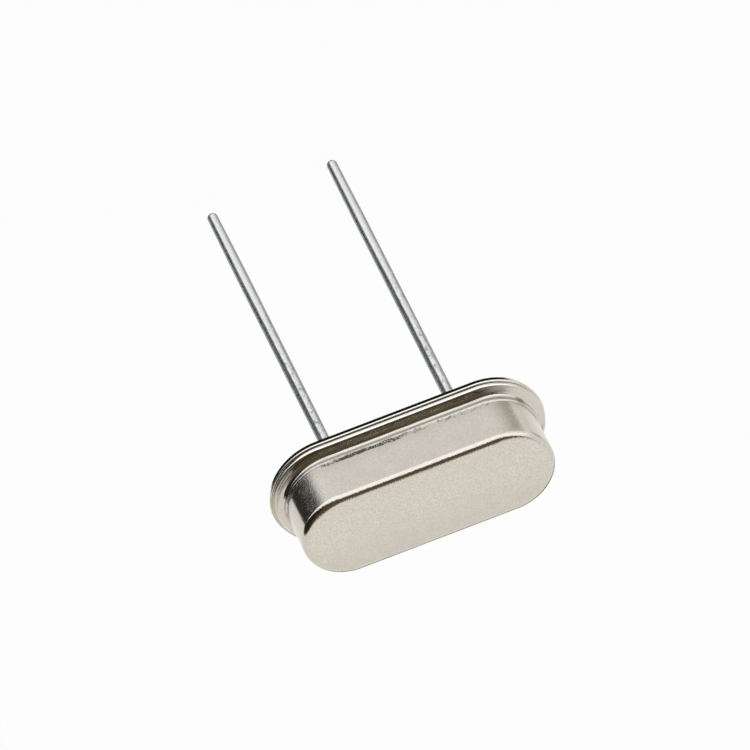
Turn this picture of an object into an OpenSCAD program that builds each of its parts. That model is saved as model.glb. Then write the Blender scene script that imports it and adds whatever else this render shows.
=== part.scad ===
// Two-lead quartz crystal unit in a low oblong metal holder.
// All sizes are millimetres.  Z = 0 is the seating plane, the underside of the base
// flange; the leads leave it along -Z and stand one lead_pitch apart along X.

/* [Can] */
// Length of the drawn can over its round ends
can_l = 9.85; // [9.5:0.05:11]
// Width of the drawn can
can_w = 3.7; // [3.4:0.05:4.2]
// Height of the can's flat top above the seating plane
can_h = 3; // [2.85:0.05:4.2]
// Thickness of the can's sheet
can_sheet = 0.2; // [0.17:0.01:0.24]
// Outer radius round the can's top edge
can_top_r = 0.27; // [0.25:0.01:0.4]
// How far the skirt at the wall's foot stands out from the wall
skirt_step = 0.03; // [0.01:0.005:0.06]
// Height of the skirt above the flange
skirt_h = 0.47; // [0.4:0.01:0.9]
// Radius round the skirt's upper edge, which runs out into the wall
skirt_edge_r = 0.08; // [0.03:0.01:0.08]
// Radius where the skirt turns out onto the sloping shoulder
can_root_r = 0.15; // [0.1:0.01:0.16]
// Height above the flange at which that turn begins
root_lift = 0.27; // [0.24:0.01:0.3]
// Angle that it turns through, in degrees
root_turn = 62; // [55:1:70]
// How far the shoulder reaches out from the skirt
shoulder_reach = 0.165; // [0.14:0.005:0.2]
// Radius round the shoulder's outer edge
shoulder_edge_r = 0.03; // [0.01:0.01:0.04]
// Slope of the flank from that edge down to the flange, in degrees
flank_slope = 44; // [40:1:60]
// How far the can's flange shows past the foot of the flank
can_lip = 0.09; // [0.09:0.01:0.3]
// Radius round the upper edge of the can's flange
can_flange_edge_r = 0.09; // [0.04:0.01:0.09]
// Radius round the lower edge of the can's flange
can_flange_under_r = 0.07; // [0.01:0.01:0.07]

/* [Base] */
// Thickness of the base's sheet
base_sheet = 0.28; // [0.2:0.01:0.32]
// How far the base's flange shows past the can's flange
base_lip = 0.05; // [0.02:0.01:0.15]
// Angle that the flange's side leans in towards the underside, in degrees
base_rim_lean = 15; // [5:1:25]
// Radius round the lower edge of the base's flange
base_under_r = 0.03; // [0.01:0.01:0.08]
// Radius round the upper edge of the base's flange
base_upper_r = 0.06; // [0.02:0.01:0.1]
// Height that the middle of the base is pressed up into the can
plateau_rise = 0.44; // [0.4:0.01:0.6]
// Inside radius of the pressed bends
base_bend_r = 0.07; // [0.03:0.01:0.08]
// Gap between the pressed plateau and the inside of the can's skirt
plateau_gap = 0.08; // [0.04:0.01:0.2]

/* [Eyelets and glass] */
// Diameter of the glass bead in each eyelet
bead_d = 1.2; // [1:0.05:1.4]
// Wall of the collar drawn down around each bead
collar_wall = 0.16; // [0.1:0.01:0.22]
// Gap between the seating plane and the collar's lower rim
collar_lift = 0.05; // [0.02:0.01:0.12]
// Radius where the plateau turns down into a collar
collar_mouth_r = 0.12; // [0.05:0.01:0.15]
// How far the glass stays back from the collar's lower rim
bead_setback = 0.05; // [0.02:0.01:0.1]
// Height and reach of the glass that climbs the lead at either face
meniscus_r = 0.07; // [0.03:0.01:0.1]

/* [Leads] */
// Distance between the two leads
lead_pitch = 4.88; // [4.6:0.02:5.1]
// Diameter of the bare wire, as it passes through the glass
wire_d = 0.43; // [0.38:0.01:0.48]
// Thickness of the tin coat on the leads
tin_t = 0.01; // [0.005:0.001:0.02]
// Length over which the tin coat grows to its full thickness below the glass
tin_feather = 0.51; // [0.1:0.01:1.5]
// Diameter of a lead at its thinned tip
lead_tip_d = 0.4; // [0.36:0.01:0.44]
// Length over which a lead thins towards its tip
lead_taper_l = 3.5; // [1:0.5:6]
// Radius round the tip of a lead
lead_tip_r = 0.14; // [0.05:0.01:0.17]
// Length of the left lead below the seating plane
lead_left_l = 16.6; // [8:0.1:20]
// Length of the right lead below the seating plane
lead_right_l = 16.2; // [8:0.1:20]
// Diameter of the flat head inside
head_d = 0.86; // [0.7:0.02:1]
// Thickness of the flat head
head_t = 0.13; // [0.08:0.01:0.2]
// Radius round the edges of a flat head
head_edge_r = 0.03; // [0.01:0.01:0.035]
// Gap between the top of the base and the underside of a head
head_lift = 0.12; // [0.05:0.01:0.2]

/* [Clips] */
// Thickness of the clip strip
clip_sheet = 0.1; // [0.06:0.01:0.14]
// Width of a clip's foot and spring
clip_w = 1; // [0.8:0.05:1.3]
// Inside radius of a clip's bend
clip_bend_r = 0.12; // [0.05:0.01:0.2]
// Metal left above and beside the slot that holds the blank
clip_rim = 0.26; // [0.15:0.01:0.3]
// Length of blank that passes out through the slot
grip_l = 0.17; // [0.1:0.01:0.25]
// Gap between the blank and the slot, on every side
slot_gap = 0.03; // [0.025:0.005:0.06]

/* [Quartz blank] */
// Gap between either end of the quartz strip and the inside of the can
blank_end_gap = 0.725; // [0.5:0.005:1.2]
// Width of the quartz strip
blank_w = 1.8; // [1.5:0.05:2]
// Thickness of the quartz strip
blank_t = 0.21; // [0.15:0.01:0.3]
// Length of the bevel at either end
bevel_l = 0.9; // [0.3:0.1:1.5]
// Depth of the bevel on either face
bevel_depth = 0.035; // [0.01:0.005:0.05]
// Height of the strip's middle plane above the lead heads
blank_lift = 0.78; // [0.65:0.01:0.9]

/* [Electrodes and adhesive] */
// Thickness of the silver film, drawn thicker than the real one
film_t = 0.02; // [0.01:0.002:0.022]
// Length of either electrode patch
patch_l = 4.2; // [2:0.1:5]
// Width of either electrode patch
patch_w = 1.4; // [0.8:0.05:1.45]
// Width of the tab that runs to the strip's end
tab_w = 0.6; // [0.3:0.05:0.8]
// Radius of the dab of conductive adhesive over a slot
dab_r = 0.46; // [0.4:0.01:0.5]

/* [Hidden] */
$fn = 48;

// Every oblong outline shares these end centres, so all margins are even all round.
straight = can_l - can_w;

wall_r = can_w / 2;
skirt_r = wall_r + skirt_step;
can_flange_top = base_sheet + can_sheet;
skirt_top = can_flange_top + skirt_h;

// Points of the shoulder's section: end of the root's arc, outer edge, and the flank's foot.
root_x = skirt_r + can_root_r;
root_z = can_flange_top + root_lift;
shoulder_in = [root_x - can_root_r * cos(root_turn), root_z - can_root_r * sin(root_turn)];
shoulder_out_x = skirt_r + shoulder_reach;
shoulder_out_z = shoulder_in[1] - (shoulder_out_x - shoulder_in[0]) / tan(root_turn);
edge_x = shoulder_out_x - shoulder_edge_r * cos(root_turn);
edge_z = shoulder_out_z - shoulder_edge_r * sin(root_turn);
flank_x = edge_x + shoulder_edge_r * sin(flank_slope);
flank_z = edge_z + shoulder_edge_r * cos(flank_slope);
foot_x = flank_x + (flank_z - can_flange_top) / tan(flank_slope);
can_flange_r = foot_x + can_lip;

base_r = can_flange_r + base_lip;
plateau_r = skirt_r - can_sheet - plateau_gap;
plateau_top = base_sheet + plateau_rise;
recess_r = plateau_r - base_sheet;

bead_r = bead_d / 2;
collar_r = bead_r + collar_wall;
bead_low = collar_lift + bead_setback;
bead_high = plateau_top - collar_mouth_r;

wire_r = wire_d / 2;
lead_r = wire_r + tin_t;
tin_top = bead_low - meniscus_r;
head_low = plateau_top + head_lift;
head_high = head_low + head_t;

blank_l = can_l - 2 * can_sheet - 2 * blank_end_gap;
blank_z = head_high + blank_lift;

clip_x = blank_l / 2 - grip_l;
clip_head_w = blank_w + 2 * slot_gap + 2 * clip_rim;
clip_top = blank_z + blank_t / 2 + slot_gap + clip_rim;
clip_head_low = blank_z - blank_t / 2 - slot_gap - clip_rim;

// Sweeps a section round the oblong path: x runs out from the centre line, y runs up.
module oblong() {
    for (end = [-1, 1])
        translate([end * straight / 2, 0, 0])
            rotate([0, 0, -90 * end])
                rotate_extrude(angle = 180)
                    children();
    for (side = [0, 1])
        mirror([0, side, 0])
            translate([-straight / 2, 0, 0])
                rotate([90, 0, 90])
                    linear_extrude(height = straight)
                        children();
}

// Sliver between two edges that meet at right angles in (x, y) and an arc tangent to
// both.  turn 0 lies right of and above the corner, and each turn adds a quarter.
module corner(x, y, r, turn) {
    translate([x, y])
        rotate(90 * turn)
            difference() {
                square(r);
                translate([r, r])
                    circle(r = r);
            }
}

// Section of a plate from the centre line to x, its two outer corners rounded.
module edged_strip(x, y0, y1, low_r, high_r) {
    difference() {
        translate([0, y0])
            square([x, y1 - y0]);
        corner(x, y0, low_r, 1);
        corner(x, y1, high_r, 2);
    }
}

// Section of a block from the centre line to x, its upper outer corner rounded.
module rounded_block(x, y0, y1, r) {
    difference() {
        translate([0, y0])
            square([x, y1 - y0]);
        corner(x, y1, r, 2);
    }
}

// Section of the thick shoulder at the skirt's foot, from the root's arc to the flank.
module shoulder_section() {
    difference() {
        polygon([[0, base_sheet], [foot_x, base_sheet], [foot_x, can_flange_top], [flank_x, flank_z],
            [shoulder_out_x, shoulder_out_z], shoulder_in, [skirt_r, root_z], [0, root_z]]);
        translate([root_x, root_z])
            circle(r = can_root_r);
    }
    translate([edge_x, edge_z])
        circle(r = shoulder_edge_r);
}

// Deep-drawn shell: top, wall, skirt, shoulder and a flange that lies on the base.
module can_section() {
    difference() {
        union() {
            rounded_block(wall_r, base_sheet, can_h, can_top_r);
            rounded_block(skirt_r, base_sheet, skirt_top, skirt_edge_r);
            shoulder_section();
            edged_strip(can_flange_r, base_sheet, can_flange_top, can_flange_under_r, can_flange_edge_r);
        }
        rounded_block(wall_r - can_sheet, base_sheet, can_h - can_sheet, can_top_r - can_sheet);
        rounded_block(skirt_r - can_sheet, base_sheet, skirt_top - can_sheet, skirt_step);
        corner(skirt_r - can_sheet, base_sheet, can_root_r + can_sheet, 0);
    }
}

module can() {
    color([0.78, 0.76, 0.72])
        oblong()
            can_section();
}

// Section of the base's flange from the centre line out.  Below its rounded upper edge
// the side leans in, and runs tangent onto the arc round the lower edge.
module base_flange_section() {
    r = base_under_r;
    out = cos(base_rim_lean);
    down = sin(base_rim_lean);
    low_z = base_sheet - base_upper_r;
    x = base_r - (r + (low_z - r) * down) / out;
    rounded_block(base_r, low_z, base_sheet, base_upper_r);
    polygon([[0, 0], [x, 0], [x + r * out, r - r * down], [base_r, low_z], [0, low_z]]);
    translate([x, r])
        circle(r = r);
}

// Pressed sheet: flat flange, a step up into the can and a plateau, hollow below.
module base_section() {
    difference() {
        union() {
            rounded_block(plateau_r, 0, plateau_top, base_bend_r + base_sheet);
            base_flange_section();
            corner(plateau_r, base_sheet, base_bend_r, 0);
        }
        rounded_block(recess_r, 0, plateau_top - base_sheet, base_bend_r);
        corner(recess_r, 0, base_bend_r + base_sheet, 0);
    }
}

// Collar drawn down from the plateau, with a rounded mouth where the sheet turns.
module collar_section() {
    translate([0, collar_lift])
        square([collar_r, plateau_top - collar_lift]);
    corner(collar_r, plateau_top - base_sheet, base_bend_r, 3);
}

module collar_bore_section() {
    square([bead_r, plateau_top]);
    corner(bead_r, plateau_top, collar_mouth_r, 3);
}

module base() {
    color([0.7, 0.68, 0.64])
        difference() {
            union() {
                oblong()
                    base_section();
                for (side = [-1, 1])
                    translate([side * lead_pitch / 2, 0, 0])
                        rotate_extrude()
                            collar_section();
            }
            for (side = [-1, 1])
                translate([side * lead_pitch / 2, 0, 0])
                    rotate_extrude()
                        collar_bore_section();
        }
}

// Glass fused between collar and lead, drawn a little way along the lead.
module glass_seal(side) {
    color([0.18, 0.24, 0.3])
        translate([side * lead_pitch / 2, 0, 0])
            rotate_extrude() {
                translate([wire_r, bead_low])
                    square([bead_r - wire_r, bead_high - bead_low]);
                corner(wire_r, bead_high, meniscus_r, 0);
                corner(wire_r, bead_low, meniscus_r, 3);
            }
}

module glass_seal_left() {
    glass_seal(-1);
}

module glass_seal_right() {
    glass_seal(1);
}

// Tinned wire with a thinned, rounded tip below, bare wire and a flat head above.
module lead(side, length) {
    tip_r = lead_tip_d / 2;
    taper_z = lead_taper_l - length;
    tip_z = lead_tip_r - length;
    color([0.66, 0.67, 0.68])
        translate([side * lead_pitch / 2, 0, 0])
            rotate_extrude() {
                polygon([[0, tip_z], [tip_r, tip_z], [lead_r, taper_z], [lead_r, tin_top - tin_feather],
                    [wire_r, tin_top], [wire_r, head_high], [0, head_high]]);
                difference() {
                    translate([0, -length])
                        square([tip_r, lead_tip_r]);
                    corner(tip_r, -length, lead_tip_r, 1);
                }
                edged_strip(head_d / 2, head_low, head_high, head_edge_r, head_edge_r);
            }
}

module lead_left() {
    lead(-1, lead_left_l);
}

module lead_right() {
    lead(1, lead_right_l);
}

// Bent strip welded on a lead head; its upright head has a slot for the blank's end.
module clip(side) {
    bend_x = clip_x - clip_sheet - clip_bend_r;
    bend_z = head_high + clip_sheet + clip_bend_r;
    color([0.62, 0.6, 0.5])
        mirror([side < 0 ? 1 : 0, 0, 0]) {
            translate([lead_pitch / 2, 0, head_high])
                cylinder(r = clip_w / 2, h = clip_sheet);
            translate([lead_pitch / 2, -clip_w / 2, head_high])
                cube([bend_x - lead_pitch / 2, clip_w, clip_sheet]);
            translate([bend_x, clip_w / 2, bend_z])
                rotate([90, 0, 0])
                    linear_extrude(height = clip_w)
                        intersection() {
                            difference() {
                                circle(r = clip_bend_r + clip_sheet);
                                circle(r = clip_bend_r);
                            }
                            translate([0, -clip_bend_r - clip_sheet])
                                square(clip_bend_r + clip_sheet);
                        }
            translate([clip_x - clip_sheet, -clip_w / 2, bend_z])
                cube([clip_sheet, clip_w, clip_head_low + clip_rim / 2 - bend_z]);
            translate([clip_x - clip_sheet, 0, 0])
                rotate([90, 0, 90])
                    linear_extrude(height = clip_sheet)
                        difference() {
                            clip_head_outline();
                            translate([-blank_w / 2 - slot_gap, blank_z - blank_t / 2 - slot_gap])
                                square([blank_w + 2 * slot_gap, blank_t + 2 * slot_gap]);
                        }
        }
}

// Upright head of a clip seen along the blank, with rounded corners.
module clip_head_outline() {
    r = clip_rim / 2;
    high = clip_top - clip_head_low;
    translate([-clip_head_w / 2, clip_head_low]) {
        translate([r, 0])
            square([clip_head_w - 2 * r, high]);
        translate([0, r])
            square([clip_head_w, high - 2 * r]);
        for (x = [r, clip_head_w - r], y = [r, high - r])
            translate([x, y])
                circle(r = r);
    }
}

module clip_left() {
    clip(-1);
}

module clip_right() {
    clip(1);
}

// Quartz strip, thinned by a bevel on both faces at either end.
module blank_solid() {
    half = blank_l / 2;
    edge = blank_t / 2 - bevel_depth;
    translate([0, blank_w / 2, blank_z])
        rotate([90, 0, 0])
            linear_extrude(height = blank_w)
                polygon([[-half, -edge], [bevel_l - half, -blank_t / 2],
                    [half - bevel_l, -blank_t / 2], [half, -edge],
                    [half, edge], [half - bevel_l, blank_t / 2],
                    [bevel_l - half, blank_t / 2], [-half, edge]]);
}

module quartz_blank() {
    color([0.86, 0.9, 0.92, 0.6])
        blank_solid();
}

// Silver patch on the upper face, with a tab that follows the bevel to the +X end.
module electrode_solid() {
    half = blank_l / 2;
    face = blank_t / 2;
    edge = face - bevel_depth;
    translate([-patch_l / 2, -patch_w / 2, blank_z + face])
        cube([patch_l, patch_w, film_t]);
    translate([0, tab_w / 2, blank_z])
        rotate([90, 0, 0])
            linear_extrude(height = tab_w)
                polygon([[0, face], [half - bevel_l, face], [half, edge],
                    [half, edge + film_t], [half - bevel_l, face + film_t], [0, face + film_t]]);
}

module electrode_top() {
    color([0.85, 0.85, 0.86])
        mirror([1, 0, 0])
            electrode_solid();
}

module electrode_bottom() {
    half_turn()
        electrode_top();
}

// Turns one end of the blank onto the other, its upper face to its lower one.
module half_turn() {
    translate([0, 0, 2 * blank_z])
        rotate([0, 180, 0])
            children();
}

// Dab over the outer face of a slot, wrapped round the blank's end and its tab.
module adhesive_left() {
    color([0.55, 0.55, 0.57])
        difference() {
            intersection() {
                translate([clip_sheet - clip_x, 0, blank_z])
                    sphere(r = dab_r);
                translate([-clip_x - dab_r, -dab_r, blank_z - dab_r])
                    cube([dab_r, 2 * dab_r, 2 * dab_r]);
            }
            blank_solid();
            electrode_top();
        }
}

module adhesive_right() {
    half_turn()
        adhesive_left();
}

can();
base();
glass_seal_left();
glass_seal_right();
lead_left();
lead_right();
clip_left();
clip_right();
quartz_blank();
electrode_top();
electrode_bottom();
adhesive_left();
adhesive_right();
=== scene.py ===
"""Dresses a packed two-lead quartz crystal unit: fine meshes for what shows, materials and a studio."""
import math

import bmesh
import bpy
from mathutils import Matrix, Vector


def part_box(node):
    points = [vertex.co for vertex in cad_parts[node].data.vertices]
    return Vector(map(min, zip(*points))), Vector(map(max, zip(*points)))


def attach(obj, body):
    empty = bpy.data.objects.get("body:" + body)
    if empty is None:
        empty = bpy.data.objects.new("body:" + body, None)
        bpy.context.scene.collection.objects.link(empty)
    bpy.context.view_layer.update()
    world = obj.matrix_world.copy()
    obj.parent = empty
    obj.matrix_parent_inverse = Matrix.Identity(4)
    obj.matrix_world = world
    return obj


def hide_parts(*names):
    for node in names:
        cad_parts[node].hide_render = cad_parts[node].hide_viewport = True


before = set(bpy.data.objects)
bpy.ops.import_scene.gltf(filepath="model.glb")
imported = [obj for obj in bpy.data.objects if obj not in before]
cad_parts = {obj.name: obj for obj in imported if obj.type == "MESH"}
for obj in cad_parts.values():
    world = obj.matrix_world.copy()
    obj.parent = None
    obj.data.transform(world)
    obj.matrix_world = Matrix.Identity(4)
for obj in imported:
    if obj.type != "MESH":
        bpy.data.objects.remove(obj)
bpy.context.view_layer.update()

# ---------------------------------------------------------------- sizes, in metres
MM = 0.001

base_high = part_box("base")[1]
can_low, can_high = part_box("can")
bead_low, bead_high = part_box("glass_seal_right")
lead_box = {"left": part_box("lead_left"), "right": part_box("lead_right")}

# The oblong outlines share two end centres, so only their radii differ
HALF_STRAIGHT = base_high.x - base_high.y
BASE_R = base_high.y
CAN_FLANGE_R = can_high.y
CAN_TOP = can_high.z
LEAD_X = (lead_box["right"][0].x + lead_box["right"][1].x) / 2

# Base plate: a flange, and a plateau pressed up inside the can
BASE_SHEET = can_low.z
BASE_UNDER_R = 0.03 * MM
BASE_UPPER_R = 0.06 * MM
BASE_RIM_LEAN = 15
BASE_BEND_R = 0.07 * MM
PLATEAU_TOP = base_high.z
PLATEAU_R = 1.60 * MM
RECESS_R = PLATEAU_R - BASE_SHEET
RECESS_TOP = PLATEAU_TOP - BASE_SHEET

# Can: a wall, a skirt just wider than it, a shoulder on the root bend, and a flange
CAN_SHEET = 0.20 * MM
CAN_FLANGE_TOP = BASE_SHEET + CAN_SHEET
CAN_EDGE_R = 0.09 * MM
CAN_UNDER_R = 0.07 * MM
WALL_R = 1.85 * MM
SKIRT_R = 1.88 * MM
SKIRT_STEP = SKIRT_R - WALL_R
SKIRT_TOP = 0.95 * MM
SKIRT_EDGE_R = 0.08 * MM
CAN_ROOT_R = 0.15 * MM
ROOT_Z = CAN_FLANGE_TOP + 0.27 * MM
ROOT_TURN = 62
SHOULDER_R = 2.045 * MM
SHOULDER_EDGE_R = 0.03 * MM
FLANK_SLOPE = 44
CAN_TOP_R = 0.27 * MM

# Glass beads in the base's two collars
BEAD_R = bead_high.x - LEAD_X
COLLAR_R = 0.76 * MM
COLLAR_LOW = 0.05 * MM
COLLAR_MOUTH_R = 0.12 * MM
MENISCUS_R = 0.07 * MM
GLASS_LOW = bead_low.z + MENISCUS_R
GLASS_HIGH = bead_high.z - MENISCUS_R

# Leads: bare wire inside, tinned below the glass, with a flat head under the clip
WIRE_R = 0.215 * MM
LEAD_R = 0.225 * MM
LEAD_TIP_R = 0.20 * MM
LEAD_TIP_ROUND = 0.14 * MM
LEAD_TAPER = 3.5 * MM
TIN_TOP = bead_low.z
TIN_FEATHER = 0.51 * MM
HEAD_R = (lead_box["right"][1].x - lead_box["right"][0].x) / 2
HEAD_T = 0.13 * MM
HEAD_EDGE_R = 0.03 * MM

# Fineness of the meshes
GUARD = 0.012 * MM
FILL_MARGIN = 4 * GUARD
NO_LENGTH = 1e-9
MERGE_GAP = 1e-8
FINE_STEP = 0.045 * MM
COARSE_STEP = 0.3 * MM
END_STEPS = 112
STRAIGHT_STEPS = 88
ROUND_STEPS = 48
EYELET_STEPS = 96


# ---------------------------------------------------------------- sections and meshes
def arc(centre_r, centre_z, radius, start, end, steps):
    """Points of an arc in a section's (r, z) plane, from one angle to another, in degrees."""
    points = []
    for i in range(steps + 1):
        angle = math.radians(start + (end - start) * i / steps)
        points.append((centre_r + radius * math.cos(angle), centre_z + radius * math.sin(angle)))
    return points


def refine(section, longest):
    """Cuts long straight stretches up, with one point close to either end to keep edges crisp."""
    fine = [section[0]]
    for (r0, z0), (r1, z1) in zip(section, section[1:]):
        length = math.hypot(r1 - r0, z1 - z0)
        if length < NO_LENGTH:
            continue
        if length > 3 * GUARD:
            inner = length - 2 * GUARD
            middle = max(1, round(inner / longest))
            shares = [GUARD / length]
            shares += [(GUARD + inner * i / middle) / length for i in range(1, middle)]
            shares += [1 - GUARD / length]
            fine += [(r0 + (r1 - r0) * s, z0 + (z1 - z0) * s) for s in shares]
        fine.append((r1, z1))
    return fine


def oblong_path():
    """Steps round the oblong: each gives the X of its centre and the outward direction."""
    steps = []
    for end in (1, -1):
        for i in range(END_STEPS):
            angle = math.radians(-90 * end + 180 * i / END_STEPS)
            steps.append((end * HALF_STRAIGHT, math.cos(angle), math.sin(angle)))
        for i in range(STRAIGHT_STEPS):
            x = end * HALF_STRAIGHT * (1 - 2 * i / STRAIGHT_STEPS)
            steps.append((x, 0.0, float(end)))
    return steps


def circle_path(x, steps=ROUND_STEPS):
    """Steps round an upright axis at x."""
    angles = [2 * math.pi * i / steps for i in range(steps)]
    return [(x, math.cos(a), math.sin(a)) for a in angles]


def sweep(bm, section, path):
    """Sweeps a section's (r, z) points round a path, and returns the rings of vertices."""
    rings = []
    for r, z in section:
        rings.append([bm.verts.new((x + r * dx, r * dy, z)) for x, dx, dy in path])
    for low, high in zip(rings, rings[1:]):
        for i in range(len(path)):
            j = (i + 1) % len(path)
            bm.faces.new((low[i], low[j], high[j], high[i]))
    return rings


def ring_edges(bm, ring):
    """Edges between neighbours of a ring."""
    edges = []
    for a, b in zip(ring, ring[1:] + ring[:1]):
        edges.append(bm.edges.get((a, b)))
    return edges


def finish_mesh(bm, name):
    """Merges doubled vertices, turns the faces outward and makes a smooth object."""
    bmesh.ops.remove_doubles(bm, verts=bm.verts, dist=MERGE_GAP)
    bmesh.ops.dissolve_degenerate(bm, edges=bm.edges, dist=NO_LENGTH)
    bmesh.ops.recalc_face_normals(bm, faces=bm.faces)
    for face in bm.faces:
        face.smooth = True
    mesh = bpy.data.meshes.new(name)
    bm.to_mesh(mesh)
    bm.free()
    piece = bpy.data.objects.new(name, mesh)
    bpy.context.scene.collection.objects.link(piece)
    return piece


# ---------------------------------------------------------------- can
def can_section():
    """Outer form from the middle of the top down to the flange, and back up the inside."""
    inner_wall = WALL_R - CAN_SHEET
    inner_skirt = SKIRT_R - CAN_SHEET
    inner_top = CAN_TOP - CAN_SHEET
    inner_edge = CAN_TOP_R - CAN_SHEET
    inner_root = CAN_ROOT_R + CAN_SHEET
    outer = [(0.0, CAN_TOP)]
    outer += arc(WALL_R - CAN_TOP_R, CAN_TOP - CAN_TOP_R, CAN_TOP_R, 90, 0, steps=20)
    crease = math.degrees(math.acos((WALL_R - SKIRT_R + SKIRT_EDGE_R) / SKIRT_EDGE_R))
    outer += arc(SKIRT_R - SKIRT_EDGE_R, SKIRT_TOP - SKIRT_EDGE_R, SKIRT_EDGE_R, crease, 0, steps=10)
    outer += arc(SKIRT_R + CAN_ROOT_R, ROOT_Z, CAN_ROOT_R, 180, 180 + ROOT_TURN, steps=16)
    shoulder_r, shoulder_z = outer[-1]
    turn = math.radians(ROOT_TURN)
    edge_z = shoulder_z - (SHOULDER_R - shoulder_r) / math.tan(turn) - SHOULDER_EDGE_R * math.sin(turn)
    edge_r = SHOULDER_R - SHOULDER_EDGE_R * math.cos(turn)
    outer += arc(edge_r, edge_z, SHOULDER_EDGE_R, ROOT_TURN, 90 - FLANK_SLOPE, steps=4)
    flank_r, flank_z = outer[-1]
    foot_r = flank_r + (flank_z - CAN_FLANGE_TOP) / math.tan(math.radians(FLANK_SLOPE))
    outer.append((foot_r, CAN_FLANGE_TOP))
    outer += arc(CAN_FLANGE_R - CAN_EDGE_R, CAN_FLANGE_TOP - CAN_EDGE_R, CAN_EDGE_R, 90, 0, steps=12)
    outer += arc(CAN_FLANGE_R - CAN_UNDER_R, BASE_SHEET + CAN_UNDER_R, CAN_UNDER_R, 0, -90, steps=6)
    inner = arc(inner_skirt + inner_root, BASE_SHEET + inner_root, inner_root, 270, 180, steps=14)
    inner += arc(inner_wall, SKIRT_TOP - CAN_SHEET - SKIRT_STEP, SKIRT_STEP, 0, 90, steps=6)
    inner += arc(inner_wall - inner_edge, inner_top - inner_edge, inner_edge, 0, 90, steps=8)
    inner.append((0.0, inner_top))
    return refine(outer, FINE_STEP) + refine(inner, COARSE_STEP)


def make_can():
    """The can as one shell, open below."""
    bm = bmesh.new()
    sweep(bm, can_section(), oblong_path())
    return finish_mesh(bm, "can_shell")


# ---------------------------------------------------------------- base
def base_section():
    """From the plateau's top out round the flange and in again under the plateau."""
    bend = BASE_BEND_R + BASE_SHEET
    section = [(PLATEAU_R - bend - FILL_MARGIN, PLATEAU_TOP)]
    section += arc(PLATEAU_R - bend, PLATEAU_TOP - bend, bend, 90, 0, steps=14)
    section += arc(PLATEAU_R + BASE_BEND_R, BASE_SHEET + BASE_BEND_R, BASE_BEND_R, 180, 270, steps=8)
    section += arc(BASE_R - BASE_UPPER_R, BASE_SHEET - BASE_UPPER_R, BASE_UPPER_R, 90, 0, steps=10)
    lean = math.radians(BASE_RIM_LEAN)
    side_run = (BASE_SHEET - BASE_UPPER_R - BASE_UNDER_R) * math.sin(lean)
    foot_r = BASE_R - (BASE_UNDER_R + side_run) / math.cos(lean)
    section += arc(foot_r, BASE_UNDER_R, BASE_UNDER_R, -BASE_RIM_LEAN, -90, steps=8)
    section += arc(RECESS_R + bend, bend, bend, 270, 180, steps=20)
    section += arc(RECESS_R - BASE_BEND_R, RECESS_TOP - BASE_BEND_R, BASE_BEND_R, 0, 90, steps=10)
    section.append((RECESS_R - BASE_BEND_R - FILL_MARGIN, RECESS_TOP))
    return refine(section, 2 * FINE_STEP)


def eyelet_section():
    """From the plateau's top down through the bore, round the collar and up to the recess."""
    mouth = BEAD_R + COLLAR_MOUTH_R
    section = [(mouth + FILL_MARGIN, PLATEAU_TOP)]
    section += arc(mouth, PLATEAU_TOP - COLLAR_MOUTH_R, COLLAR_MOUTH_R, 90, 180, steps=10)
    section += [(BEAD_R, COLLAR_LOW), (COLLAR_R, COLLAR_LOW)]
    section += arc(COLLAR_R + BASE_BEND_R, RECESS_TOP - BASE_BEND_R, BASE_BEND_R, 180, 90, steps=10)
    section.append((COLLAR_R + BASE_BEND_R + FILL_MARGIN, RECESS_TOP))
    return refine(section, 2 * FINE_STEP)


def make_base():
    """The base plate: its oblong part, two eyelets, and the flats filled in between them."""
    bm = bmesh.new()
    rings = sweep(bm, base_section(), oblong_path())
    top_edges = ring_edges(bm, rings[0])
    under_edges = ring_edges(bm, rings[-1])
    for side in (-1, 1):
        eyelet = sweep(bm, eyelet_section(), circle_path(side * LEAD_X, EYELET_STEPS))
        top_edges += ring_edges(bm, eyelet[0])
        under_edges += ring_edges(bm, eyelet[-1])
    for edges in (top_edges, under_edges):
        bmesh.ops.triangle_fill(bm, use_beauty=True, use_dissolve=False, edges=edges)
    return finish_mesh(bm, "base_plate")


# ---------------------------------------------------------------- glass beads and leads
def make_bead(side, name):
    """A glass bead between its wire and its collar, with a meniscus up and down the wire."""
    section = [(WIRE_R, GLASS_LOW - MENISCUS_R)]
    section += arc(WIRE_R + MENISCUS_R, GLASS_LOW - MENISCUS_R, MENISCUS_R, 180, 90, steps=8)
    section += [(BEAD_R, GLASS_LOW), (BEAD_R, GLASS_HIGH)]
    section += arc(WIRE_R + MENISCUS_R, GLASS_HIGH + MENISCUS_R, MENISCUS_R, 270, 180, steps=8)
    section.append((WIRE_R, GLASS_LOW - MENISCUS_R))
    bm = bmesh.new()
    sweep(bm, refine(section, FINE_STEP), circle_path(side * LEAD_X, EYELET_STEPS))
    return finish_mesh(bm, name)


def lead_section(low, high):
    """From the tip's middle up the tinned wire and the bare wire to the flat head."""
    head_low = high - HEAD_T
    section = [(0.0, low)]
    section += arc(LEAD_TIP_R - LEAD_TIP_ROUND, low + LEAD_TIP_ROUND, LEAD_TIP_ROUND, -90, 0, steps=12)
    section += [(LEAD_R, low + LEAD_TAPER), (LEAD_R, TIN_TOP - TIN_FEATHER)]
    section += [(WIRE_R, TIN_TOP), (WIRE_R, head_low)]
    section += arc(HEAD_R - HEAD_EDGE_R, head_low + HEAD_EDGE_R, HEAD_EDGE_R, -90, 0, steps=5)
    section += arc(HEAD_R - HEAD_EDGE_R, high - HEAD_EDGE_R, HEAD_EDGE_R, 0, 90, steps=5)
    section.append((0.0, high))
    return refine(section, FINE_STEP)


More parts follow.
